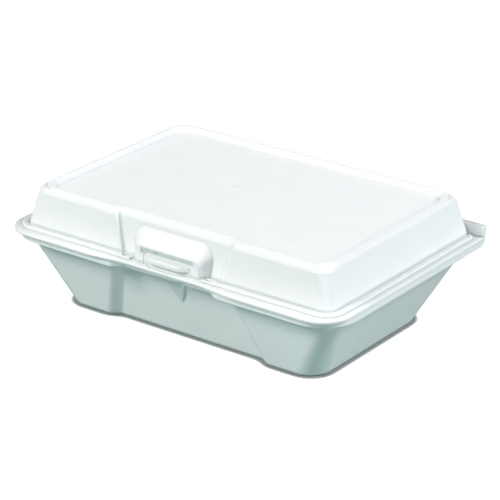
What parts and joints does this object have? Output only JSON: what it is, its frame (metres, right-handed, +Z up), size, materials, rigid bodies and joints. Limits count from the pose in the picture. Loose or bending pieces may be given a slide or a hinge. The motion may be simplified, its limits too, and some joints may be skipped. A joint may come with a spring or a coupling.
{
  "type": "foam clamshell container",
  "caption": "Shallow rectangular foam food box with a hinged lid, a raised rim round the lid panel and a front tongue-and-slot latch.",
  "frame": {"origin": "centre of the closed box's footprint, on the plane that its foot stands on", "axes": "+X along the length, -Y towards the latch, +Y towards the hinge, +Z up"},
  "size_m": [0.2384, 0.1602, 0.0754],
  "materials": {
    "foam": "smooth satin expanded foam skin"
  },
  "bodies": {
    "base": {"base": "foam"},
    "lid": {"lid": "foam"}
  },
  "joints": [
    {"name": "lid_hinge", "type": "hinge", "parent": "base", "child": "lid", "pos_m": [0, 0.0784, 0.0567], "axis": [-1, 0, 0], "range_deg": [0, 180]}
  ]
}
